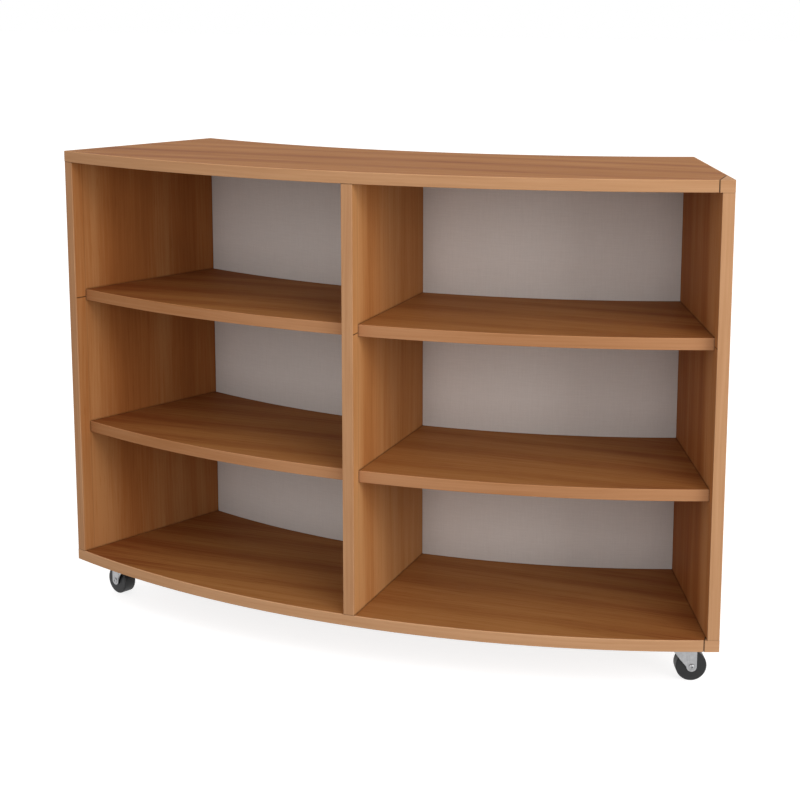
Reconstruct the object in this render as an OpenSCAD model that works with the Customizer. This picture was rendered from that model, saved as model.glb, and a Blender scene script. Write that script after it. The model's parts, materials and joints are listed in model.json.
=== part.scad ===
// Curved mobile shelf unit: two bays of three compartments on four swivel castors.
// Millimetres, +Z up. The origin is at floor level, below the middle of the unit's plan box.
// The front faces -Y. Both arcs of the plan share one centre behind the unit.

/* [Cabinet] */
// Radius of the curved front of the top and bottom boards
front_radius = 1549.4; // [1500:0.1:1620]
// Depth of the top and bottom boards along the radius
body_depth = 330.2; // [310:0.1:360]
// Half of the angle that the cabinet spans
half_angle = 22.02; // [19:0.01:25]
// Height of the body, from the underside of the bottom board to the top face
body_height = 742; // [700:1:800]

/* [Boards] */
// Thickness of the top and bottom boards
deck_t = 19; // [18:0.5:25]
// Thickness of the side boards
side_t = 19; // [18:0.5:25]
// Thickness of the divider
divider_t = 19; // [18:0.5:25]
// Thickness of the shelves
shelf_t = 19; // [18:0.5:25]
// Distance from the front arc back to the shelf fronts
shelf_setback = 22; // [10:1:60]
// Height of the lower shelves' top face above the underside of the bottom board
lower_shelf_top = 257; // [220:1:290]
// Height of the upper shelves' top face above the underside of the bottom board
upper_shelf_top = 497; // [460:1:530]
// Gap between a shelf and the boards or panel round it
shelf_fit = 0.1; // [0.05:0.05:0.4]

/* [Edging] */
// Thickness of the edging strips
edging_t = 2; // [2:0.1:3]
// Radius of the strips' rounded long edges
edging_round = 1; // [0.3:0.1:1]
// Depth of the solid lipping at the front of the sides and divider, with its edging
lipping_depth = 22; // [18:1:30]
// Height of the butt joint in the lippings above the underside of the bottom board
lipping_joint = 484; // [300:1:600]
// Width of the butt joint in the lippings
lipping_gap = 0.6; // [0.1:0.1:1]

/* [Back panel] */
// Thickness of the grey back panel
back_t = 3.2; // [3:0.1:6]
// Distance from the boards' rear arc to the rear face of the panel
back_recess = 12.5; // [8:0.5:20]
// Depth of the panel's grooves in the decks and sides
groove_depth = 6; // [4:0.5:7]
// Clearance of the panel in its grooves, on each side
groove_fit = 0.15; // [0.05:0.05:0.4]

/* [Corner blocks] */
// Length of a corner block along the front arc
block_front = 24; // [22:1:36]
// Length of a corner block along the end of the board
block_side = 63; // [55:1:90]
// Width of the open seam between a corner block and its board
seam_gap = 0.8; // [0.3:0.1:0.9]

/* [Dowels] */
// Diameter of the dowels
dowel_d = 8; // [6:0.5:8]
// Radial clearance of a dowel in its hole
dowel_fit = 0.05; // [0.02:0.01:0.2]
// Length of a dowel in the top or bottom board
dowel_in_deck = 11; // [8:1:13]
// Length of a dowel in a shelf, side end or divider end
dowel_in_end = 19; // [14:1:25]
// Length of a shelf dowel in the face of a side or of the divider
dowel_in_face = 8; // [5:0.5:8]
// Free depth left at each end of a dowel
dowel_end_gap = 0.5; // [0.2:0.1:0.9]
// Dowels in each end of a side board and of the divider
deck_dowels = 4; // [2:1:5]
// Dowels in each end of a shelf
shelf_dowels_per_end = 3; // [2:1:4]
// Distance from the front arc to the first deck dowel
first_dowel = 11; // [9:0.5:14]
// Distance from the panel's front face to the last deck dowel
last_dowel = 26; // [15:1:50]
// Distance from a shelf's front or rear edge to its outer dowels
shelf_dowel_inset = 45; // [30:1:70]

/* [Castors] */
// Distance from the floor to the underside of the bottom board
castor_height = 74; // [70:0.5:84]
// Diameter of the wheels
wheel_d = 50; // [44:1:52]
// Width of the wheels over the tread
wheel_w = 24; // [18:1:26]
// Distance from the king pin's axis to the wheel's axis
castor_trail = 20; // [17:0.5:23]
// Distance from the outer face of the side board to the king pin's axis
castor_inset = 51; // [46:1:70]
// Distance from the front or rear arc to the king pin's axis
castor_setback = 72; // [55:1:90]
// Side of the square castor plate
plate_w = 60; // [56:1:70]
// Thickness of the castor plate
plate_t = 2.5; // [2:0.1:3]
// Radius of the castor plate's corners
plate_corner = 6; // [3:0.5:8]
// Spacing of the screw holes, along both sides of the plate
screw_spacing = 45; // [42:0.5:48]
// Radius of the castor's swivel head
head_r = 21.5; // [20:0.5:23]
// Diameter of the bearing balls
ball_d = 4; // [3:0.5:4.5]
// Radius of the circle that the balls run on
ball_circle = 16; // [14:0.5:17]
// Number of balls in a castor
ball_count = 18; // [12:1:20]
// Running gap of the balls in their grooves
ball_fit = 0.08; // [0.05:0.01:0.15]
// Radius of the king pin
pin_r = 5; // [4:0.25:6]
// Radial running clearance of the pins and axles
running_fit = 0.06; // [0.02:0.01:0.1]
// Thickness of the fork's steel
fork_t = 2; // [1.5:0.1:2.5]
// Gap between the wheel's face and the fork's leg
wheel_side_gap = 1.5; // [1:0.1:2.5]
// Radius of the rounded lower end of a fork leg
leg_end_r = 8.3; // [7:0.1:9]
// Radius of the axle rivet
axle_r = 3; // [2.5:0.1:3.5]
// Radius of the axle rivet's heads
axle_head_r = 4.8; // [4.2:0.1:6]
// Outer radius of the axle bush
bush_r = 4.6; // [4.2:0.1:6]
// Width of the bevel round the wheel's rim
rim_bevel = 1.8; // [1:0.1:3]

/* [Hidden] */

arc_fn = 720;
round_fn = 96;
cut = 1;

wood = "peru";
lipping = "burlywood";
grey_laminate = "lightgray";
zinc = "silver";
black = "dimgray";
beech = "wheat";

rear_radius = front_radius - body_depth;
panel_rear_radius = rear_radius + back_recess;
panel_front_radius = panel_rear_radius + back_t;
shelf_front_radius = front_radius - shelf_setback;
lipping_radius = front_radius - lipping_depth;
deck_top_z = body_height - deck_t;
plan_shift = (front_radius + rear_radius * cos(half_angle)) / 2;
far = 2 * front_radius;

dowel_r = dowel_d / 2;
first_dowel_radius = front_radius - first_dowel;
last_dowel_radius = panel_front_radius + last_dowel;
deck_dowel_radii = spread(first_dowel_radius, last_dowel_radius, deck_dowels);
shelf_dowel_radii = spread(shelf_front_radius - shelf_dowel_inset,
                           panel_front_radius + shelf_dowel_inset, shelf_dowels_per_end);
upper_shelf_mid = upper_shelf_top - shelf_t / 2;
lower_shelf_mid = lower_shelf_top - shelf_t / 2;
shelf_mids = [lower_shelf_mid, upper_shelf_mid];

wheel_r = wheel_d / 2;
axle_z = wheel_r - castor_height;
cup_drop = 2.5;
race_gap = 3;
cup_z = -plate_t - cup_drop;
fork_top_z = cup_z - race_gap;
fork_disc_t = 2.5;
fork_under_z = fork_top_z - fork_disc_t;
ball_z = (cup_z + fork_top_z) / 2;
lip_t = 2;
lip_gap = 0.5;
dish_r = 11;
pin_head_r = 9;
pin_head_t = 2;
dish_gap = 0.2;
dish_z = -plate_t;
hub_proud = 1;
hub_r = 8;
leg_face_y = wheel_w / 2 + wheel_side_gap;
screw_hole_r = 2.75;
screw_r = 2;
screw_fit = 0.05;
screw_in_board = 14;
screw_head_r = 4.4;
screw_head_t = 2.4;
screw_slot_w = 1;
screw_slot_depth = 1;
leg_rear_x = castor_trail + leg_end_r;
leg_bend_x = castor_trail - leg_end_r;
leg_flare_x = leg_bend_x - 12.5;
leg_wrap_x = leg_flare_x - 14.5;
leg_flare_y = head_r - 0.6;
leg_wrap_y = 0.68 * head_r;
leg_slant_x = leg_bend_x - 18;
leg_slant_z = axle_z + 23;
leg_shoulder_z = fork_under_z - 14;
leg_top_x = 0.84 * head_r;
axle_head_h = 2.4;
axle_dome_r = 7;
axle_dimple_r = 1.6;

function spread(a, b, n) = [for (i = [0:n - 1]) a + (b - a) * i / (n - 1)];

// Placing

module in_body() {
  translate([0, plan_shift, castor_height]) children();
}

module right_plane() {
  rotate([0, 0, half_angle]) children();
}

module both_hands() {
  children();
  mirror([1, 0, 0]) children();
}

// Plan outlines

module ring_2d(inner, outer) {
  difference() {
    circle(r = outer, $fn = arc_fn);
    circle(r = inner, $fn = arc_fn);
  }
}

// The wedge between the two end planes, each moved inward by inset
module wedge_2d(inset) {
  translate([0, -inset / sin(half_angle)])
    polygon([[0, 0], [far * sin(half_angle), -far * cos(half_angle)],
             [-far * sin(half_angle), -far * cos(half_angle)]]);
}

module sector_2d(inner, outer, inset) {
  intersection() {
    ring_2d(inner, outer);
    wedge_2d(inset);
  }
}

module right_half_2d(from_x) {
  translate([from_x, -far]) square([far, 2 * far]);
}

// The corner outside the seam line, moved into the board by grow
module block_zone_2d(grow) {
  line = sqrt(block_front * block_front + block_side * block_side);
  run = [block_front, block_side] / line;
  reach = 2 * block_side;
  rotate(half_angle)
    translate([-run[1] * grow, -front_radius + block_side + run[0] * grow])
      polygon([-run * reach, run * reach, [reach, reach * run[1]], [reach, -reach * run[1]]]);
}

module side_2d(inner, outer) {
  intersection() {
    difference() {
      wedge_2d(0);
      wedge_2d(side_t);
    }
    ring_2d(inner, outer);
    right_half_2d(0);
  }
}

module divider_2d(inner, outer) {
  intersection() {
    ring_2d(inner, outer);
    translate([-divider_t / 2, -far]) square([divider_t, far]);
  }
}

module bay_2d(inner, outer, gap) {
  intersection() {
    sector_2d(inner, outer, side_t + gap);
    right_half_2d(divider_t / 2 + gap);
  }
}

// Dowel places, each with its axis along Z or across the board's face

module dowel_z(below, above, grow) {
  translate([0, 0, -below]) cylinder(r = dowel_r + grow, h = below + above, $fn = round_fn);
}

module dowel_x(inward, outward, grow) {
  translate([-inward, 0, 0]) rotate([0, 90, 0])
    cylinder(r = dowel_r + grow, h = inward + outward, $fn = round_fn);
}

module side_joint_places() {
  for (r = deck_dowel_radii)
    right_plane() translate([-side_t / 2, -r, 0]) children();
}

module divider_joint_places() {
  for (r = deck_dowel_radii)
    translate([0, -r, 0]) children();
}

module deck_joint_places() {
  both_hands() side_joint_places() children();
  divider_joint_places() children();
}

module shelf_side_places() {
  for (r = shelf_dowel_radii)
    right_plane() translate([-side_t, -r, 0]) children();
}

module shelf_divider_places() {
  for (r = shelf_dowel_radii)
    translate([divider_t / 2, -r, 0]) children();
}

// Decks

module deck_holes() {
  deck_joint_places()
    dowel_z(dowel_in_end + dowel_end_gap, dowel_in_deck + dowel_end_gap, dowel_fit);
}

module groove_2d() {
  sector_2d(panel_rear_radius - groove_fit, panel_front_radius + groove_fit,
            side_t - groove_depth);
}

module deck_plan_2d() {
  difference() {
    sector_2d(rear_radius + edging_t, front_radius - edging_t, edging_t);
    block_zone_2d(seam_gap);
  }
}

// A deck with its holes and groove in the upper face, z = 0 at that face
module deck() {
  difference() {
    translate([0, 0, -deck_t]) linear_extrude(deck_t) deck_plan_2d();
    translate([0, 0, -groove_depth]) linear_extrude(groove_depth + cut) groove_2d();
    mirror([0, 0, 1]) deck_holes();
  }
}

module top_board() {
  color(wood) in_body() translate([0, 0, deck_top_z]) mirror([0, 0, 1]) deck();
}

module bottom_board() {
  color(wood) in_body() difference() {
    translate([0, 0, deck_t]) deck();
    castor_places() screw_places()
      translate([0, 0, -cut]) cylinder(r = screw_r + screw_fit, h = screw_in_board + 2 * cut, $fn = round_fn);
  }
}

module corner_block(low_z, joint_z) {
  color(wood) in_body() difference() {
    translate([0, 0, low_z]) linear_extrude(deck_t) intersection() {
      sector_2d(rear_radius, front_radius, 0);
      block_zone_2d(0);
      right_half_2d(0);
    }
    translate([0, 0, joint_z]) side_joint_places()
      dowel_z(dowel_in_deck + dowel_end_gap, dowel_in_deck + dowel_end_gap, dowel_fit);
  }
}

module top_corner_block() {
  corner_block(deck_top_z, deck_top_z);
}

module bottom_corner_block() {
  corner_block(0, deck_t);
}

// Edging

// Section of a strip whose outer face is at outer_x, with both long edges rounded
module edging_section(outer_x, height) {
  translate([outer_x - edging_t, 0]) square([edging_t - edging_round, height]);
  translate([outer_x - edging_t, edging_round]) square([edging_t, height - 2 * edging_round]);
  for (z = [edging_round, height - edging_round])
    translate([outer_x - edging_round, z]) circle(r = edging_round, $fn = round_fn);
}

module swept() {
  rotate([0, 0, -90 - half_angle]) rotate_extrude(angle = 2 * half_angle, $fn = arc_fn)
    children();
}

module front_strip(radius, height) {
  swept() edging_section(radius, height);
}

module rear_strip(height) {
  swept() translate([2 * rear_radius, 0]) mirror([1, 0])
    edging_section(rear_radius, height);
}

module deck_front_edging(low_z) {
  color(lipping) in_body() difference() {
    translate([0, 0, low_z]) front_strip(front_radius, deck_t);
    translate([0, 0, low_z - cut]) linear_extrude(deck_t + 2 * cut) block_zone_2d(seam_gap);
  }
}

module deck_rear_edging(low_z) {
  color(lipping) in_body() translate([0, 0, low_z]) rear_strip(deck_t);
}

module end_strip_2d() {
  intersection() {
    difference() {
      wedge_2d(0);
      wedge_2d(edging_t);
    }
    ring_2d(rear_radius + edging_t, front_radius - edging_t);
    right_half_2d(0);
  }
}

module deck_end_edgings(low_z) {
  color(lipping) in_body() translate([0, 0, low_z]) linear_extrude(deck_t) {
    mirror([1, 0]) end_strip_2d();
    difference() {
      end_strip_2d();
      block_zone_2d(seam_gap);
    }
  }
}

// Plan of the strip on the front of an upright that spans low_x to high_x, with rounded corners
module upright_edging_2d(low_x, high_x) {
  round_r = front_radius - edging_round;
  intersection() {
    ring_2d(front_radius - edging_t, front_radius);
    translate([low_x + edging_round, -far]) square([high_x - low_x - 2 * edging_round, far]);
  }
  intersection() {
    ring_2d(front_radius - edging_t, round_r);
    translate([low_x, -far]) square([high_x - low_x, far]);
  }
  for (x = [low_x + edging_round, high_x - edging_round])
    translate([x, -sqrt(round_r * round_r - x * x)]) circle(r = edging_round, $fn = round_fn);
}

module upright_height() {
  translate([0, 0, deck_t]) linear_extrude(deck_top_z - deck_t) children();
}

module side_front_edgings() {
  color(lipping) in_body() both_hands() upright_height() rotate(half_angle)
    upright_edging_2d(-side_t, 0);
}

module side_rear_edgings() {
  color(lipping) in_body() both_hands() upright_height()
    side_2d(rear_radius, rear_radius + edging_t);
}

module divider_front_edging() {
  color(lipping) in_body() upright_height()
    upright_edging_2d(-divider_t / 2, divider_t / 2);
}

// Two lengths of lipping that butt at the joint
module lipping_lengths() {
  translate([0, 0, deck_t]) linear_extrude(lipping_joint - lipping_gap / 2 - deck_t) children();
  translate([0, 0, lipping_joint + lipping_gap / 2])
    linear_extrude(deck_top_z - lipping_joint - lipping_gap / 2) children();
}

module side_lippings() {
  color(lipping) in_body() both_hands() difference() {
    lipping_lengths() side_2d(lipping_radius, front_radius - edging_t);
    side_end_holes();
  }
}

module divider_lippings() {
  color(lipping) in_body() difference() {
    lipping_lengths() divider_2d(lipping_radius, front_radius - edging_t);
    divider_end_holes();
  }
}

module shelf_front_edgings() {
  color(lipping) in_body() both_hands()
    for (z = [lower_shelf_top, upper_shelf_top]) intersection() {
      translate([0, 0, z - shelf_t]) front_strip(shelf_front_radius, shelf_t);
      translate([0, 0, z - shelf_t - cut]) linear_extrude(shelf_t + 2 * cut)
        bay_2d(panel_front_radius, front_radius, shelf_fit);
    }
}

// Uprights and shelves

module side_end_holes() {
  translate([0, 0, deck_t]) mirror([0, 0, 1]) side_joint_places()
    dowel_z(dowel_in_end + dowel_end_gap, cut, dowel_fit);
  translate([0, 0, deck_top_z]) side_joint_places()
    dowel_z(dowel_in_end + dowel_end_gap, cut, dowel_fit);
}

module divider_end_holes() {
  translate([0, 0, deck_t]) mirror([0, 0, 1]) divider_joint_places()
    dowel_z(dowel_in_end + dowel_end_gap, cut, dowel_fit);
  translate([0, 0, deck_top_z]) divider_joint_places()
    dowel_z(dowel_in_end + dowel_end_gap, cut, dowel_fit);
}

module side_board() {
  difference() {
    upright_height() side_2d(rear_radius + edging_t, lipping_radius);
    linear_extrude(body_height) groove_2d();
    side_end_holes();
    for (z = shelf_mids) translate([0, 0, z]) shelf_side_places()
      dowel_x(cut, dowel_in_face + dowel_end_gap, dowel_fit);
  }
}

module right_side() {
  color(wood) in_body() side_board();
}

module left_side() {
  color(wood) in_body() mirror([1, 0, 0]) side_board();
}

module divider() {
  color(wood) in_body() difference() {
    upright_height() divider_2d(panel_front_radius + shelf_fit, lipping_radius);
    divider_end_holes();
    both_hands() for (z = shelf_mids) translate([0, 0, z]) shelf_divider_places()
      dowel_x(dowel_in_face + dowel_end_gap, cut, dowel_fit);
  }
}

module shelf(top_z) {
  color(wood) in_body() difference() {
    translate([0, 0, top_z - shelf_t]) linear_extrude(shelf_t)
      bay_2d(panel_front_radius + shelf_fit, shelf_front_radius - edging_t, shelf_fit);
    translate([0, 0, top_z - shelf_t / 2]) shelf_side_places()
      dowel_x(dowel_in_end + dowel_end_gap, cut, dowel_fit);
    translate([0, 0, top_z - shelf_t / 2]) shelf_divider_places()
      dowel_x(cut, dowel_in_end + dowel_end_gap, dowel_fit);
  }
}

module shelf_upper_right() {
  shelf(upper_shelf_top);
}

module shelf_upper_left() {
  mirror([1, 0, 0]) shelf(upper_shelf_top);
}

module shelf_lower_right() {
  shelf(lower_shelf_top);
}

module shelf_lower_left() {
  mirror([1, 0, 0]) shelf(lower_shelf_top);
}

module back_panel() {
  low = deck_t - groove_depth + groove_fit;
  high = deck_top_z + groove_depth - groove_fit;
  color(grey_laminate) in_body() translate([0, 0, low]) linear_extrude(high - low)
    sector_2d(panel_rear_radius, panel_front_radius, side_t - groove_depth + groove_fit);
}

module top_dowels() {
  color(beech) in_body() translate([0, 0, deck_top_z]) deck_joint_places()
    dowel_z(dowel_in_end, dowel_in_deck, 0);
}

module bottom_dowels() {
  color(beech) in_body() translate([0, 0, deck_t]) deck_joint_places()
    dowel_z(dowel_in_deck, dowel_in_end, 0);
}

module shelf_dowels() {
  color(beech) in_body() both_hands() for (z = shelf_mids) translate([0, 0, z]) {
    shelf_side_places() dowel_x(dowel_in_end, dowel_in_face, 0);
    shelf_divider_places() dowel_x(dowel_in_face, dowel_in_end, 0);
  }
}

// Castors, modelled at the king pin's axis: z = 0 is the underside of the bottom board,
// the wheel trails towards +X and its axle lies along Y

module front_right_place() {
  right_plane() translate([-castor_inset, castor_setback - front_radius, 0]) children();
}

module rear_right_place() {
  right_plane() translate([-castor_inset, -castor_setback - rear_radius, 0]) children();
}

module front_left_place() {
  mirror([1, 0, 0]) front_right_place() children();
}

module rear_left_place() {
  mirror([1, 0, 0]) rear_right_place() children();
}

module castor_places() {
  front_left_place() children();
  front_right_place() children();
  rear_left_place() children();
  rear_right_place() children();
}

module screw_places() {
  for (x = [-1, 1], y = [-1, 1])
    translate([x * screw_spacing / 2, y * screw_spacing / 2, 0]) children();
}

module race(z) {
  translate([0, 0, z]) rotate_extrude($fn = round_fn)
    translate([ball_circle, 0]) circle(r = ball_d / 2 + ball_fit, $fn = round_fn);
}

module plate_outline() {
  w = plate_w / 2 - plate_corner;
  square([plate_w, 2 * w], center = true);
  square([2 * w, plate_w], center = true);
  for (x = [-w, w], y = [-w, w]) translate([x, y]) circle(r = plate_corner, $fn = round_fn);
}

module castor_plate() {
  color(zinc) difference() {
    union() {
      translate([0, 0, -plate_t]) linear_extrude(plate_t) plate_outline();
      translate([0, 0, cup_z]) cylinder(r = head_r, h = cup_drop, $fn = round_fn);
      translate([0, 0, fork_top_z + lip_gap]) difference() {
        cylinder(r = head_r + lip_t, h = -fork_top_z - lip_gap - plate_t, $fn = round_fn);
        translate([0, 0, -cut]) cylinder(r = head_r, h = castor_height, $fn = round_fn);
      }
    }
    translate([0, 0, dish_z]) cylinder(r = dish_r, h = plate_t + cut, $fn = round_fn);
    translate([0, 0, cup_z - cut]) cylinder(r = pin_r + running_fit, h = castor_height, $fn = round_fn);
    screw_places() translate([0, 0, -plate_t - cut])
      cylinder(r = screw_hole_r, h = plate_t + 2 * cut, $fn = round_fn);
    race(ball_z);
  }
}

module castor_screws() {
  color(zinc) screw_places() difference() {
    union() {
      translate([0, 0, -plate_t - screw_head_t])
        cylinder(r = screw_head_r, h = screw_head_t, $fn = round_fn);
      translate([0, 0, -plate_t]) cylinder(r = screw_r, h = plate_t + screw_in_board, $fn = round_fn);
    }
    for (turn = [0, 90]) rotate([0, 0, turn])
      translate([0, 0, -plate_t - screw_head_t])
        cube([1.3 * screw_head_r, screw_slot_w, 2 * screw_slot_depth], center = true);
  }
}

module castor_king_pin() {
  color(zinc) {
    translate([0, 0, dish_z]) cylinder(r = pin_head_r, h = pin_head_t, $fn = round_fn);
    translate([0, 0, fork_under_z - dish_gap - pin_head_t])
      cylinder(r = pin_r, h = dish_z - fork_under_z + dish_gap + pin_head_t, $fn = round_fn);
    translate([0, 0, fork_under_z - dish_gap - pin_head_t])
      cylinder(r = pin_head_r, h = pin_head_t, $fn = round_fn);
  }
}

module castor_balls() {
  color(zinc) for (i = [0:ball_count - 1]) rotate([0, 0, i * 360 / ball_count])
    translate([ball_circle, 0, ball_z]) sphere(d = ball_d, $fn = round_fn);
}

module along_axle() {
  translate([castor_trail, 0, axle_z]) rotate([90, 0, 0]) children();
}

// Plan of a fork leg: flat beside the wheel, flared out to wrap the swivel head
module leg_plan() {
  polygon([
    [leg_rear_x, leg_face_y + fork_t],
    [leg_bend_x, leg_face_y + fork_t],
    [leg_flare_x, leg_flare_y],
    [leg_wrap_x, leg_wrap_y],
    [leg_wrap_x, leg_wrap_y - fork_t],
    [leg_flare_x, leg_flare_y - fork_t],
    [leg_bend_x, leg_face_y],
    [leg_rear_x, leg_face_y]
  ]);
}

// Side view of a fork leg, drawn with x towards the trailing side and y up
module leg_outline() {
  translate([castor_trail, axle_z]) circle(r = leg_end_r, $fn = round_fn);
  polygon([
    [leg_rear_x, axle_z],
    [leg_rear_x, leg_shoulder_z],
    [leg_top_x, fork_top_z],
    [-head_r, fork_top_z],
    [-head_r, fork_under_z],
    [leg_slant_x, leg_slant_z],
    [leg_bend_x, axle_z]
  ]);
}

module fork_leg() {
  intersection() {
    translate([0, 0, -castor_height]) linear_extrude(castor_height + fork_top_z) leg_plan();
    rotate([90, 0, 0]) translate([0, 0, -wheel_d]) linear_extrude(2 * wheel_d) leg_outline();
  }
}

module castor_fork() {
  color(zinc) difference() {
    union() {
      translate([0, 0, fork_under_z]) cylinder(r = head_r + lip_t, h = fork_disc_t, $fn = round_fn);
      fork_leg();
      mirror([0, 1, 0]) fork_leg();
    }
    translate([0, 0, fork_under_z - cut])
      cylinder(r = pin_r + running_fit, h = fork_disc_t + 2 * cut, $fn = round_fn);
    race(ball_z);
    along_axle() cylinder(r = axle_r + running_fit, h = wheel_d, center = true, $fn = round_fn);
  }
}

module castor_axle() {
  length = 2 * (leg_face_y + fork_t);
  color(zinc) along_axle() {
    cylinder(r = axle_r, h = length, center = true, $fn = round_fn);
    for (end = [0, 1]) mirror([0, 0, end]) translate([0, 0, length / 2])
      rotate_extrude($fn = round_fn) difference() {
        intersection() {
          square([axle_head_r, axle_head_h]);
          translate([0, axle_head_h - axle_dome_r]) circle(r = axle_dome_r, $fn = 2 * round_fn);
        }
        translate([0, axle_head_h]) circle(r = axle_dimple_r, $fn = round_fn);
      }
  }
}

module castor_bush() {
  color(zinc) along_axle() difference() {
    cylinder(r = bush_r, h = 2 * leg_face_y - 2 * running_fit, center = true, $fn = round_fn);
    cylinder(r = axle_r + running_fit, h = wheel_d, center = true, $fn = round_fn);
  }
}

module castor_wheel() {
  half_w = wheel_w / 2;
  bore = bush_r + running_fit;
  color(black) along_axle() rotate_extrude($fn = 2 * round_fn) difference() {
    polygon([
      [0, -half_w - hub_proud], [hub_r, -half_w - hub_proud], [hub_r, -half_w],
      [wheel_r - rim_bevel, -half_w], [wheel_r, -half_w + rim_bevel],
      [wheel_r, half_w - rim_bevel], [wheel_r - rim_bevel, half_w],
      [hub_r, half_w], [hub_r, half_w + hub_proud], [0, half_w + hub_proud]
    ]);
    translate([-cut, -wheel_w]) square([bore + cut, 2 * wheel_w]);
  }
}

// The model

top_board();
bottom_board();
left_side();
right_side();
divider();
shelf_upper_left();
shelf_upper_right();
shelf_lower_left();
shelf_lower_right();
back_panel();
top_corner_block();
bottom_corner_block();
deck_front_edging(deck_top_z);  // top_front_edging
deck_rear_edging(deck_top_z);  // top_rear_edging
deck_end_edgings(deck_top_z);  // top_end_edgings
deck_front_edging(0);  // bottom_front_edging
deck_rear_edging(0);  // bottom_rear_edging
deck_end_edgings(0);  // bottom_end_edgings
side_front_edgings();
side_rear_edgings();
divider_front_edging();
shelf_front_edgings();
side_lippings();
divider_lippings();
top_dowels();
bottom_dowels();
shelf_dowels();

in_body() front_left_place() castor_plate();  // front_left_plate
in_body() front_left_place() castor_screws();  // front_left_screws
in_body() front_left_place() castor_king_pin();  // front_left_king_pin
in_body() front_left_place() castor_balls();  // front_left_balls
in_body() front_left_place() castor_fork();  // front_left_fork
in_body() front_left_place() castor_axle();  // front_left_axle
in_body() front_left_place() castor_bush();  // front_left_bush
in_body() front_left_place() castor_wheel();  // front_left_wheel

in_body() front_right_place() castor_plate();  // front_right_plate
in_body() front_right_place() castor_screws();  // front_right_screws
in_body() front_right_place() castor_king_pin();  // front_right_king_pin
in_body() front_right_place() castor_balls();  // front_right_balls
in_body() front_right_place() castor_fork();  // front_right_fork
in_body() front_right_place() castor_axle();  // front_right_axle
in_body() front_right_place() castor_bush();  // front_right_bush
in_body() front_right_place() castor_wheel();  // front_right_wheel

in_body() rear_left_place() castor_plate();  // rear_left_plate
in_body() rear_left_place() castor_screws();  // rear_left_screws
in_body() rear_left_place() castor_king_pin();  // rear_left_king_pin
in_body() rear_left_place() castor_balls();  // rear_left_balls
in_body() rear_left_place() castor_fork();  // rear_left_fork
in_body() rear_left_place() castor_axle();  // rear_left_axle
in_body() rear_left_place() castor_bush();  // rear_left_bush
in_body() rear_left_place() castor_wheel();  // rear_left_wheel

in_body() rear_right_place() castor_plate();  // rear_right_plate
in_body() rear_right_place() castor_screws();  // rear_right_screws
in_body() rear_right_place() castor_king_pin();  // rear_right_king_pin
in_body() rear_right_place() castor_balls();  // rear_right_balls
in_body() rear_right_place() castor_fork();  // rear_right_fork
in_body() rear_right_place() castor_axle();  // rear_right_axle
in_body() rear_right_place() castor_bush();  // rear_right_bush
in_body() rear_right_place() castor_wheel();  // rear_right_wheel
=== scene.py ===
"""Looks of the curved mobile shelf unit: procedural materials, studio light and the photograph's camera.

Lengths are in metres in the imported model's frame: +Z up, the convex open front faces -Y.
"""
import json
import math

import bpy
from mathutils import Matrix, Vector


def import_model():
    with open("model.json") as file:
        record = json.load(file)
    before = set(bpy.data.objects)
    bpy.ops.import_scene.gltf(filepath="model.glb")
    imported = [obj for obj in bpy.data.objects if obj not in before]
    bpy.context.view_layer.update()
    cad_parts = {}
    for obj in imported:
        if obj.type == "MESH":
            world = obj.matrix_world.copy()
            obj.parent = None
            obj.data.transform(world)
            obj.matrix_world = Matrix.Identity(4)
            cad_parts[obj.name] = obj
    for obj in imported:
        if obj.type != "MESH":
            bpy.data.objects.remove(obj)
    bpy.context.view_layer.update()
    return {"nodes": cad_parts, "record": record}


# Camera, fitted to the edges in the photograph, in pixels of an 800 x 800 image. The picture's centre
# is lower than the fit alone would have it, so that the whole unit shows from every side.
PICTURE = 800
SENSOR = 36.0
FOCAL = 1616.34
CENTRE = (414.07, 270.0)
CAMERA_PLACE = (0.98515, -2.49379, 1.09967)
YAW, PITCH, ROLL = -0.3648, 0.1744, 0.0014

# Light: one even sky and three softboxes, all aimed at the middle of the unit
WHITE = (1.0, 1.0, 1.0, 1.0)
WORLD_LIGHT = 0.74
AIM = (0.0, 0.0, 0.4)
SOFTBOXES = {
    "front_softbox": {"place": (0.5, -4.2, 1.7), "size": (1.8, 1.8), "watts": 23.0},
    "side_softbox": {"place": (4.0, -1.9, 1.3), "size": (1.8, 1.8), "watts": 42.0},
    "high_softbox": {"place": (2.2, -2.2, 3.2), "size": (1.8, 1.8), "watts": 44.0},
}
FLOOR_HALF = 30.0
FLOOR_COLOUR = (0.50, 0.50, 0.50, 1)
FLOOR_GLOW = 0.80

# Plan of the unit: the arcs' common centre, the front arc, half of the angle between the ends,
# and the radius on which distances along the arc are measured
ARC_CENTRE_Y = 1.33983
FRONT_RADIUS = 1.5494
HALF_ANGLE = math.radians(22.02)
MEAN_RADIUS = 1.45

# Linear colours of the wood prints: dark, middle and light
BOARD_COLOURS = ((0.215, 0.060, 0.014, 1), (0.338, 0.135, 0.037, 1), (0.430, 0.192, 0.062, 1))
SIDE_COLOURS = ((0.245, 0.075, 0.0175, 1), (0.342, 0.119, 0.031, 1), (0.430, 0.188, 0.066, 1))
# The divider's print is the sides' painted lighter: painted light
DIVIDER_LIT_COLOURS = ((0.265, 0.092, 0.023, 1), (0.378, 0.152, 0.045, 1), (0.470, 0.230, 0.088, 1))
EDGE_COLOURS = ((0.410, 0.200, 0.092, 1), (0.477, 0.250, 0.122, 1), (0.533, 0.292, 0.151, 1))
# The shelves' edging is the decks' edging painted darker: painted shade
SHELF_EDGE_SHADED_COLOURS = ((0.345, 0.147, 0.055, 1), (0.400, 0.184, 0.080, 1), (0.446, 0.215, 0.099, 1))
BEECH_COLOURS = ((0.520, 0.340, 0.190, 1), (0.700, 0.500, 0.310, 1), (0.700, 0.500, 0.310, 1))
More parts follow.
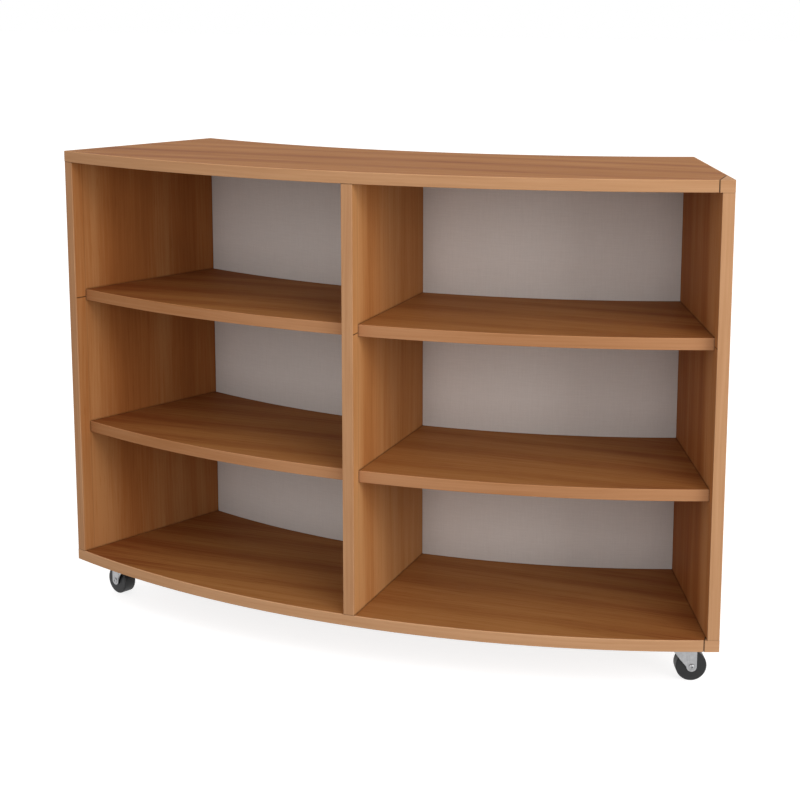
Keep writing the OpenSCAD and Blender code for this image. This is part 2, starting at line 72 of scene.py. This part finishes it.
# Linear colours of the other finishes: dark and light
PANEL_DARK, PANEL_LIGHT = (0.690, 0.652, 0.620, 1), (0.795, 0.758, 0.726, 1)
ZINC_DARK, ZINC_LIGHT = (0.265, 0.268, 0.275, 1), (0.440, 0.440, 0.448, 1)
WHEEL_DARK, WHEEL_LIGHT = (0.010, 0.010, 0.011, 1), (0.022, 0.022, 0.023, 1)

# Layers of the wood print: rate along and across the grain, per metre, detail, and shift in the noise
WANDER = (1.6, 5.0, 1.0, 3.1)
BANDS = (0.8, 20.0, 2.0, 0.0)
STREAKS = (3.6, 60.0, 2.0, 7.7)
FIBRES = (7.0, 260.0, 3.0, 13.9)
PORES = (24.0, 620.0, 1.0, 21.3)
FADE = (3.0, 12.0, 1.0, 31.7)
# How far the grain wanders to the side, and the print's tone without marks
WANDER_REACH = 0.022
PLAIN_TONE = 0.55
# Noise between which levels, and what it becomes there: strength of the broad streaks, open pores,
# and roughness
FADE_RANGE = (0.30, 0.62, 0.35, 1.0)
PORE_RANGE = (0.62, 0.74)
ROUGHNESS_RANGE = (0.2, 0.8, 0.70, 0.60)
# The surface: how far a pore dips against the fibres, and the bump's strength and distance
PORE_DIP = -0.6
WOOD_BUMP = (0.10, 0.0004)
# Strength of the bands, streaks, fibres and pores
FLAT_MARKS = (0.45, 0.30, 0.7, 0.30)
SIDE_MARKS = (1.05, 0.38, 0.65, 0.20)
DIVIDER_MARKS = (1.05, 0.28, 0.5, 0.20)
EDGE_MARKS = (0.5, 0.6, 1.1, 0.20)
BEECH_MARKS = (0.5, 0.5, 0.3, 0.2)

# Broad streaks of the board print: place across the grain, half-width and change of tone.
# The shelves show the same ones, a share as strong.
FLAT_STREAKS = ((-0.022, 0.030, -0.52), (-0.115, 0.028, -0.24), (0.062, 0.026, -0.18),
                (-0.148, 0.024, 0.16), (-0.065, 0.026, -0.08), (0.028, 0.032, 0.20), (0.095, 0.028, 0.14))
SHELF_SHARE = 0.75
SIDE_STREAKS = ((1.446, 0.034, -0.20), (1.355, 0.030, -0.14), (1.500, 0.034, 0.16))
# Painted light on the uprights, lighter towards the front: between which distances from the arcs' centre,
# how much
SIDE_PAINTED_LIGHT = (1.44, 1.53, 0.05)
DIVIDER_PAINTED_LIGHT = (1.36, 1.49, 0.30)
# Painted light on the left side and the divider, lighter at the foot: between which heights, how much tone
FOOT_PAINTED_LIGHT = (0.10, 0.42, 0.26)
# Painted light on the lower deck's long edgings, which are lighter: between which heights, how much tone
LONG_FOOT_PAINTED_LIGHT = (0.10, 0.30, 0.32)
# The painted light at the foot ends between these distances along the arc
FOOT_LIGHT_END = (0.2, 0.4)
# Painted light, a lighter tone next to the uprights' front edges: between which distances from the centre,
# how much
SIDE_PAINTED_FRONT_TONE = (1.43, 1.52, 0.22)
DIVIDER_PAINTED_FRONT_TONE = (1.495, 1.530, 0.34)
# Painted light and shade: change of tone along the arc, from the left end to the right
SHELF_LIGHT_SHADE = ((-0.52, -0.34), (-0.26, -0.03), (0.0, 0.04), (0.28, 0.06), (0.52, -0.20))
LONG_LIGHT_SHADE = ((-0.56, -0.24), (-0.20, 0.0), (0.56, 0.06))
SHELF_EDGE_LIGHT_SHADE = ((-0.52, -0.45), (-0.33, -0.42), (-0.20, 0.0), (-0.08, 0.42), (0.10, 0.24),
                    (0.23, -0.10), (0.38, 0.02), (0.50, 0.42))
POST_LIGHT_SHADE = ((-0.56, -0.36), (0.0, -0.17), (0.30, 0.0), (0.56, 0.0))
# Painted highlight: how much lighter rounded edges are, on the decks' edgings, and on those of the uprights
# and shelves
DECK_ARRIS_HIGHLIGHT, INNER_ARRIS_HIGHLIGHT = 0.12, 0.15

# Creases: reach and depth of the shade in joints and corners
WOOD_CREASE_SHADE = (0.0035, 0.65)
PANEL_CREASE_SHADE = (0.06, 0.22)
ZINC_CREASE_SHADE = (0.003, 0.6)
# Seam of the corner blocks in plan, from the front edge to the end, and the edging at the end
SEAM_FRONT, SEAM_SIDE = 0.024, 0.063
END_EDGING = 0.0025
# Butt joints: the lipping's inner edge, its joint's height, and the decks' inner faces
LIPPING_EDGE = 1.5274
LIPPING_JOINT = 0.558
DECK_FACES = (0.093, 0.797)
# Lines at these joints: half-width and depth, and the soft border of the zone that they keep to
LIPPING_LINE = (0.0010, 0.15)
BUTT_LINE = (0.0012, 0.60)
SEAM_LINE = (0.0014, 0.60)
DECK_LINE = (0.0014, 0.28)
BORDER = 0.0005


class Graph:
    """Short ways to add nodes to a node tree."""

    def __init__(self, tree):
        self.tree = tree

    def put(self, socket, value):
        if isinstance(value, bpy.types.NodeSocket):
            self.tree.links.new(value, socket)
        else:
            socket.default_value = value

    def add(self, kind, inputs=None, **settings):
        node = self.tree.nodes.new(kind)
        for key, value in settings.items():
            setattr(node, key, value)
        for key, value in (inputs or {}).items():
            self.put(node.inputs[key], value)
        return node

    def math(self, operation, a, b=0.0, c=0.0):
        node = self.add("ShaderNodeMath", {0: a, 1: b, 2: c}, operation=operation)
        return node.outputs[0]

    def vector(self, x, y, z):
        return self.add("ShaderNodeCombineXYZ", {0: x, 1: y, 2: z}).outputs[0]

    def spread(self, value, low, high, to_low=0.0, to_high=1.0, kind="LINEAR"):
        node = self.add("ShaderNodeMapRange", {0: value, 1: low, 2: high, 3: to_low, 4: to_high},
                        interpolation_type=kind)
        return node.outputs[0]


class Paint(Graph):
    """A material under construction."""

    def __init__(self, name):
        self.material = bpy.data.materials.new(name)
        self.material.use_nodes = True
        super().__init__(self.material.node_tree)
        self.shader = self.tree.nodes["Principled BSDF"]

    def position(self):
        """x, y and z in the object's own coordinates, which are the frame's."""
        here = self.add("ShaderNodeTexCoord").outputs["Object"]
        split = self.add("ShaderNodeSeparateXYZ", {0: here})
        return split.outputs[0], split.outputs[1], split.outputs[2]

    def noise(self, where, detail):
        return self.add("ShaderNodeTexNoise", {"Vector": where, "Scale": 1.0, "Detail": detail}).outputs[0]

    def mottle(self, rates, detail):
        """Noise in the object's coordinates, with a rate per metre for each axis."""
        scaled = [self.math("MULTIPLY", part, rate) for part, rate in zip(self.position(), rates)]
        return self.noise(self.vector(*scaled), detail)

    def ramp(self, factor, stops):
        node = self.add("ShaderNodeValToRGB", {0: factor})
        elements = node.color_ramp.elements
        while len(elements) < len(stops):
            elements.new(0.5)
        for element, (place, colour) in zip(elements, stops):
            element.position = place
            element.color = colour
        return node.outputs[0]

    def scaled(self, colour, factor):
        """The colour times the factor, channel by channel."""
        node = self.add("ShaderNodeVectorMath", {0: colour}, operation="SCALE")
        self.put(node.inputs["Scale"], factor)
        return node.outputs[0]

    def profile(self, value, stops):
        """A change that follows the value, straight between the stops."""
        zero = 0.5
        low, high = stops[0][0], stops[-1][0]
        greys = [((place - low) / (high - low), (change + zero,) * 3 + (1,)) for place, change in stops]
        return self.math("SUBTRACT", self.ramp(self.spread(value, low, high), greys), zero)

    def arris_highlight(self):
        """Mask of the painted highlight: 1 on rounded long edges, 0 on faces that look up, out from the
        arcs' centre, or along the arc.
        """
        x, y, z = self.position()
        normal = self.add("ShaderNodeNewGeometry").outputs["Normal"]
        upward = self.add("ShaderNodeSeparateXYZ", {0: normal}).outputs[2]
        reach = self.vector(x, self.math("SUBTRACT", y, ARC_CENTRE_Y), 0.0)
        out = self.add("ShaderNodeVectorMath", {0: reach}, operation="NORMALIZE").outputs[0]
        product = self.add("ShaderNodeVectorMath", {0: normal, 1: out}, operation="DOT_PRODUCT")
        outward = product.outputs["Value"]
        up2 = self.math("MULTIPLY", upward, upward)
        out2 = self.math("MULTIPLY", outward, outward)
        along2 = self.math("SUBTRACT", 1.0, self.math("ADD", up2, out2))
        most = self.math("MAXIMUM", self.math("MAXIMUM", up2, out2), along2)
        face, edge = 0.97, 0.80
        return self.spread(most, face, edge)

    def line(self, value, place, half_width, depth):
        """1 away from a fine line across the value, less on it."""
        core = half_width * 0.6
        away = self.math("ABSOLUTE", self.math("SUBTRACT", value, place))
        return self.spread(away, core, half_width, 1.0 - depth, 1.0)

    def crease_shade(self, reach, depth):
        """Painted shade: 1 in the open, less in joints and corners narrower than the reach."""
        shut, clear = 0.35, 0.95
        node = self.add("ShaderNodeAmbientOcclusion", {"Distance": reach}, samples=6)
        return self.spread(node.outputs["AO"], shut, clear, 1.0 - depth, 1.0)

    def bump(self, height, strength, distance):
        node = self.add("ShaderNodeBump", {"Strength": strength, "Distance": distance, "Height": height})
        self.put(self.shader.inputs["Normal"], node.outputs[0])

    def finish(self, colour, roughness, specular=0.3, metallic=0.0):
        self.put(self.shader.inputs["Base Color"], colour)
        self.put(self.shader.inputs["Roughness"], roughness)
        self.shader.inputs["Specular IOR Level"].default_value = specular
        self.shader.inputs["Metallic"].default_value = metallic
        return self.material


def polar(g):
    """Distance along the arc, distance from the arcs' centre, and height."""
    x, y, z = g.position()
    back = g.math("SUBTRACT", ARC_CENTRE_Y, y)
    angle = g.math("ARCTAN2", x, back)
    radius = g.math("SQRT", g.math("ADD", g.math("MULTIPLY", x, x), g.math("MULTIPLY", back, back)))
    return g.math("MULTIPLY", angle, MEAN_RADIUS), radius, z


def flat_grain(g):
    """Grain of the decks and shelves: it runs along the unit, nearly alike on every level."""
    level_rate = 0.02
    x, y, z = g.position()
    return x, y, g.math("MULTIPLY", z, level_rate)


def upright_grain(g):
    """Grain of the sides and divider: it runs up the board."""
    along_arc, radius, z = polar(g)
    return z, radius, along_arc


def arc_grain(g):
    """Grain of the long edgings: it follows the arc."""
    along_arc, radius, z = polar(g)
    return along_arc, z, radius


def end_grain(g):
    """Grain of the edgings at the decks' ends: it runs from front to rear."""
    along_arc, radius, z = polar(g)
    return radius, z, along_arc


def post_grain(g):
    """Grain of the upright edgings and lippings."""
    along_arc, radius, z = polar(g)
    return z, along_arc, radius


def lipping_lines(g, radius, height):
    """Less than 1 at the lipping's inner edge and at the joint of its two lengths."""
    inside = g.line(radius, LIPPING_EDGE, *LIPPING_LINE)
    band = g.spread(radius, LIPPING_EDGE, LIPPING_EDGE + BORDER)
    cut = g.math("SUBTRACT", 1.0, g.line(height, LIPPING_JOINT, *BUTT_LINE))
    return g.math("MULTIPLY", inside, g.math("MULTIPLY_ADD", g.math("MULTIPLY", cut, band), -1.0, 1.0))


def seam_lines(g, radius, height):
    """Less than 1 at the corner blocks' seams, but not on the edging at the end."""
    x, y, z = g.position()
    turn = math.hypot(SEAM_FRONT, SEAM_SIDE)
    lean = HALF_ANGLE + math.atan2(SEAM_SIDE, SEAM_FRONT)
    across = g.math("MULTIPLY_ADD", x, -math.sin(lean), g.math("MULTIPLY", y, math.cos(lean)))
    start = (SEAM_SIDE - FRONT_RADIUS) * SEAM_FRONT / turn + ARC_CENTRE_Y * math.cos(lean)
    aslant = g.math("MULTIPLY", y, math.sin(HALF_ANGLE))
    inward = g.math("MULTIPLY_ADD", x, math.cos(HALF_ANGLE), aslant)
    face = ARC_CENTRE_Y * math.sin(HALF_ANGLE) - END_EDGING
    return g.math("MAXIMUM", g.line(across, start, *SEAM_LINE), g.spread(inward, face - BORDER, face))


def deck_lines(g, radius, height):
    """Less than 1 where the uprights meet the lower and the upper deck."""
    low, high = (g.line(height, face, *DECK_LINE) for face in DECK_FACES)
    return g.math("MULTIPLY", low, high)


def wood(name, grain, colours, marks, seed, streak_list=(), painted_front_light=None, painted_foot_light=None, painted_front_tone=None,
         arc_light_shade=None, arris_highlight=0.0, joints=None, whole_foot_light=False):
    """Wood grain laminate: broad bands, streaks, fine fibres and short pores."""
    g = Paint(name)
    along, across, deep = grain(g)

    def layer(rate_along, rate_across, detail, shift):
        where = g.vector(g.math("MULTIPLY_ADD", along, rate_along, seed + shift),
                         g.math("MULTIPLY_ADD", across, rate_across, shift),
                         g.math("MULTIPLY", deep, rate_across))
        return g.noise(where, detail)

    along_arc, radius, height = polar(g)
    wander = layer(*WANDER)
    across = g.math("MULTIPLY_ADD", g.math("SUBTRACT", wander, 0.5), WANDER_REACH, across)
    bands, streaks, fibres, pores = (layer(*rates) for rates in (BANDS, STREAKS, FIBRES, PORES))
    tone = PLAIN_TONE
    for print_layer, strength in zip((bands, streaks, fibres), marks):
        tone = g.math("MULTIPLY_ADD", g.math("SUBTRACT", print_layer, 0.5), strength, tone)
    if streak_list:
        fade = g.spread(layer(*FADE), *FADE_RANGE)
        for place, half_width, change in streak_list:
            away = g.math("ABSOLUTE", g.math("SUBTRACT", across, place))
            shape = g.spread(away, 0.0, half_width, 1.0, 0.0, kind="SMOOTHSTEP")
            tone = g.math("MULTIPLY_ADD", g.math("MULTIPLY", shape, change), fade, tone)
    # Painted light: lighter towards the foot
    if painted_foot_light:
        low, high, gain = painted_foot_light
        left = 1.0 if whole_foot_light else g.spread(along_arc, *FOOT_LIGHT_END, 1.0, 0.0)
        tone = g.math("MULTIPLY_ADD", g.spread(height, low, high, gain, 0.0, kind="SMOOTHSTEP"), left, tone)
    # Painted light: a lighter tone next to the front edges
    if painted_front_tone:
        start, end, gain = painted_front_tone
        tone = g.math("ADD", tone, g.spread(radius, start, end, 0.0, gain, kind="SMOOTHSTEP"))
    # Painted light and shade along the arc
    if arc_light_shade:
        tone = g.math("ADD", tone, g.profile(along_arc, arc_light_shade))
    pits = g.spread(pores, *PORE_RANGE)
    tone = g.math("MULTIPLY_ADD", pits, -marks[3], tone)
    colour = g.ramp(tone, list(zip((0.0, 0.5, 1.0), colours)))
    # Painted shade in joints and corners
    level = g.crease_shade(*WOOD_CREASE_SHADE)
    if joints:
        level = g.math("MULTIPLY", level, joints(g, radius, height))
    # Painted light: the uprights lighter towards the front
    if painted_front_light:
        start, end, gain = painted_front_light
        level = g.math("MULTIPLY", level, g.spread(radius, start, end, 1.0, 1.0 + gain, kind="SMOOTHSTEP"))
    # Painted highlight on the rounded edges
    if arris_highlight:
        level = g.math("MULTIPLY", level, g.math("MULTIPLY_ADD", g.arris_highlight(), arris_highlight, 1.0))
    g.bump(g.math("MULTIPLY_ADD", pits, PORE_DIP, fibres), *WOOD_BUMP)
    return g.finish(g.scaled(colour, level), g.spread(fibres, *ROUGHNESS_RANGE), specular=0.10)


def linen_panel():
    """Grey laminate with a faint woven print."""
    g = Paint("grey_linen_panel")
    along_arc, radius, z = polar(g)
    rate_along, rate_across, patch_rate = 30.0, 620.0, 6.0
    weave_share, cloud_share = 0.7, 0.25

    def threads(a, b, shift):
        where = g.vector(g.math("MULTIPLY_ADD", a, rate_along, shift),
                         g.math("MULTIPLY", b, rate_across), shift)
        return g.noise(where, 2.0)

    weave = g.math("ADD", threads(along_arc, z, 1.3), threads(z, along_arc, 8.2))
    patches = g.vector(g.math("MULTIPLY", along_arc, patch_rate), g.math("MULTIPLY", z, patch_rate), 0.0)
    cloud = g.noise(patches, 2.0)
    tone = g.math("MULTIPLY_ADD", g.math("SUBTRACT", weave, 1.0), weave_share, 0.5)
    tone = g.math("MULTIPLY_ADD", g.math("SUBTRACT", cloud, 0.5), cloud_share, tone)
    colour = g.ramp(tone, [(0.0, PANEL_DARK), (1.0, PANEL_LIGHT)])
    g.bump(weave, 0.08, 0.0003)
    # Painted shade near the boards that meet the panel
    colour = g.scaled(colour, g.crease_shade(*PANEL_CREASE_SHADE))
    return g.finish(colour, g.spread(weave, 0.7, 1.3, 0.80, 0.70), specular=0.10)


def zinc():
    """Bright zinc plate with faint mottling and drawing lines."""
    g = Paint("bright_zinc")
    cloud = g.mottle((160.0, 160.0, 160.0), 3.0)
    lines = g.mottle((900.0, 900.0, 60.0), 2.0)
    line_share, cloud_share = 0.35, 0.65
    tone = g.math("MULTIPLY_ADD", lines, line_share, g.math("MULTIPLY", cloud, cloud_share))
    colour = g.ramp(tone, [(0.25, ZINC_DARK), (0.75, ZINC_LIGHT)])
    g.bump(lines, 0.06, 0.0002)
    # Painted shade in tight joints, such as round the rivet heads
    colour = g.scaled(colour, g.crease_shade(*ZINC_CREASE_SHADE))
    return g.finish(colour, g.spread(cloud, 0.3, 0.7, 0.26, 0.38), specular=0.5, metallic=1.0)


def wheel_plastic():
    """Black moulded wheel with a grainy, uneven sheen."""
    g = Paint("black_moulded_wheel")
    grit = g.mottle((1400.0, 1400.0, 1400.0), 3.0)
    cloud = g.mottle((90.0, 90.0, 90.0), 2.0)
    grit_share, cloud_share = 0.5, 0.5
    tone = g.math("MULTIPLY_ADD", grit, grit_share, g.math("MULTIPLY", cloud, cloud_share))
    colour = g.ramp(tone, [(0.3, WHEEL_DARK), (0.7, WHEEL_LIGHT)])
    g.bump(grit, 0.12, 0.0002)
    return g.finish(colour, g.spread(cloud, 0.3, 0.7, 0.42, 0.54), specular=0.35)


def dress(nodes, record):
    """Every CAD node gets its finish, by its own name or else by its material slot in the record."""
    shelf_streaks = [(place, half_width, change * SHELF_SHARE) for place, half_width, change in FLAT_STREAKS]
    top = wood("wood_grain_top", flat_grain, BOARD_COLOURS, FLAT_MARKS, seed=4.0,
               streak_list=FLAT_STREAKS, joints=seam_lines)
    shelf = wood("wood_grain_shelf", flat_grain, BOARD_COLOURS, FLAT_MARKS, seed=4.0,
                 streak_list=shelf_streaks, arc_light_shade=SHELF_LIGHT_SHADE, joints=seam_lines)
    side = wood("wood_grain_side", upright_grain, SIDE_COLOURS, SIDE_MARKS, seed=11.0,
                streak_list=SIDE_STREAKS, painted_front_light=SIDE_PAINTED_LIGHT, painted_foot_light=FOOT_PAINTED_LIGHT, painted_front_tone=SIDE_PAINTED_FRONT_TONE,
                joints=lipping_lines)
    divider = wood("wood_grain_divider", upright_grain, DIVIDER_LIT_COLOURS, DIVIDER_MARKS, seed=17.0,
                   painted_front_light=DIVIDER_PAINTED_LIGHT, painted_foot_light=FOOT_PAINTED_LIGHT, painted_front_tone=DIVIDER_PAINTED_FRONT_TONE, joints=lipping_lines)
    long_edge = wood("wood_edging_long", arc_grain, EDGE_COLOURS, EDGE_MARKS, seed=2.0, painted_foot_light=LONG_FOOT_PAINTED_LIGHT,
                     arc_light_shade=LONG_LIGHT_SHADE, arris_highlight=DECK_ARRIS_HIGHLIGHT, joints=seam_lines, whole_foot_light=True)
    end_edge = wood("wood_edging_end", end_grain, EDGE_COLOURS, EDGE_MARKS, seed=8.0,
                    arris_highlight=DECK_ARRIS_HIGHLIGHT, joints=seam_lines)
    shelf_front = wood("wood_edging_shelf", arc_grain, SHELF_EDGE_SHADED_COLOURS, EDGE_MARKS, seed=3.0,
                       arc_light_shade=SHELF_EDGE_LIGHT_SHADE, arris_highlight=INNER_ARRIS_HIGHLIGHT)
    post_edge = wood("wood_edging_upright", post_grain, EDGE_COLOURS, EDGE_MARKS, seed=6.0,
                     arc_light_shade=POST_LIGHT_SHADE, arris_highlight=INNER_ARRIS_HIGHLIGHT, joints=deck_lines)
    by_slot = {
        "wood_grain_board": shelf,
        "wood_edging": long_edge,
        "beech_dowel": wood("beech_dowel", post_grain, BEECH_COLOURS, BEECH_MARKS, seed=9.0),
        "grey_panel": linen_panel(),
        "zinc_steel": zinc(),
        "black_wheel": wheel_plastic(),
    }
    by_node = {
        "top_board": top,
        "top_corner_block": long_edge,
        "bottom_corner_block": long_edge,
        "left_side": side,
        "right_side": side,
        "side_lippings": side,
        "divider": divider,
        "divider_lippings": divider,
        "side_front_edgings": post_edge,
        "side_rear_edgings": post_edge,
        "divider_front_edging": post_edge,
        "shelf_front_edgings": shelf_front,
        "top_end_edgings": end_edge,
        "bottom_end_edgings": end_edge,
    }
    slots = {part["node"]: part["material_slot"] for part in record["subparts"]}
    for name, node in nodes.items():
        node.data.materials.clear()
        node.data.materials.append(by_node.get(name, by_slot[slots[name]]))


def camera():
    """The photograph's camera: its place, its direction and its shifted picture."""
    data = bpy.data.cameras.new("camera")
    data.sensor_width = SENSOR
    data.lens = FOCAL / PICTURE * SENSOR
    data.shift_x = (PICTURE / 2 - CENTRE[0]) / PICTURE
    data.shift_y = (CENTRE[1] - PICTURE / 2) / PICTURE
    ahead = Vector((math.sin(YAW) * math.cos(PITCH), math.cos(YAW) * math.cos(PITCH), -math.sin(PITCH)))
    level = Vector((math.cos(YAW), -math.sin(YAW), 0.0))
    upward = level.cross(ahead)
    right = level * math.cos(ROLL) + upward * math.sin(ROLL)
    up = upward * math.cos(ROLL) - level * math.sin(ROLL)
    turn = Matrix((right, up, -ahead)).transposed().to_4x4()
    eye = bpy.data.objects.new("camera", data)
    eye.matrix_world = Matrix.Translation(CAMERA_PLACE) @ turn
    bpy.context.scene.collection.objects.link(eye)
    bpy.context.scene.camera = eye


def softbox(name, lamp):
    """A rectangular lamp that faces the middle of the unit."""
    data = bpy.data.lights.new(name, "AREA")
    data.shape = "RECTANGLE"
    data.size, data.size_y = lamp["size"]
    data.energy = lamp["watts"]
    box = bpy.data.objects.new(name, data)
    place = Vector(lamp["place"])
    facing = (Vector(AIM) - place).to_track_quat("-Z", "Y").to_matrix().to_4x4()
    box.matrix_world = Matrix.Translation(place) @ facing
    bpy.context.scene.collection.objects.link(box)


def background_rays(g):
    """1 where the ray shows the background: straight to the camera, mirrored, or through glass."""
    path = g.add("ShaderNodeLightPath").outputs
    shown = g.math("MAXIMUM", path["Is Camera Ray"], path["Is Glossy Ray"])
    return g.math("MAXIMUM", shown, path["Is Transmission Ray"])


def world():
    """Even soft light from all round, which shows as plain white."""
    sky = bpy.data.worlds.new("studio")
    sky.use_nodes = True
    g = Graph(sky.node_tree)
    lit = g.tree.nodes["Background"]
    lit.inputs["Color"].default_value = WHITE
    lit.inputs["Strength"].default_value = WORLD_LIGHT
    seen = g.add("ShaderNodeBackground", {"Color": WHITE, "Strength": 1.0})
    choice = g.add("ShaderNodeMixShader", {0: background_rays(g), 1: lit.outputs[0], 2: seen.outputs[0]})
    g.put(g.tree.nodes["World Output"].inputs["Surface"], choice.outputs[0])
    bpy.context.scene.world = sky


def floor():
    """A white floor that keeps the object's shadow."""
    mesh = bpy.data.meshes.new("floor")
    signs = ((-1, -1), (1, -1), (1, 1), (-1, 1))
    mesh.from_pydata([(x * FLOOR_HALF, y * FLOOR_HALF, 0) for x, y in signs], [], [(0, 1, 2, 3)])
    ground = bpy.data.objects.new("floor", mesh)
    bpy.context.scene.collection.objects.link(ground)
    paint = bpy.data.materials.new("floor_white")
    paint.use_nodes = True
    g = Graph(paint.node_tree)
    g.tree.nodes.remove(g.tree.nodes["Principled BSDF"])
    matt = g.add("ShaderNodeBsdfDiffuse", {"Color": FLOOR_COLOUR})
    strength = g.math("MULTIPLY", background_rays(g), FLOOR_GLOW)
    glow = g.add("ShaderNodeEmission", {"Color": WHITE, "Strength": strength})
    both = g.add("ShaderNodeAddShader", {0: matt.outputs[0], 1: glow.outputs[0]})
    g.put(g.tree.nodes["Material Output"].inputs["Surface"], both.outputs[0])
    mesh.materials.append(paint)


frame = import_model()
camera()
world()
floor()
for name, lamp in SOFTBOXES.items():
    softbox(name, lamp)
dress(frame["nodes"], frame["record"])
bpy.context.scene.view_settings.view_transform = "Standard"
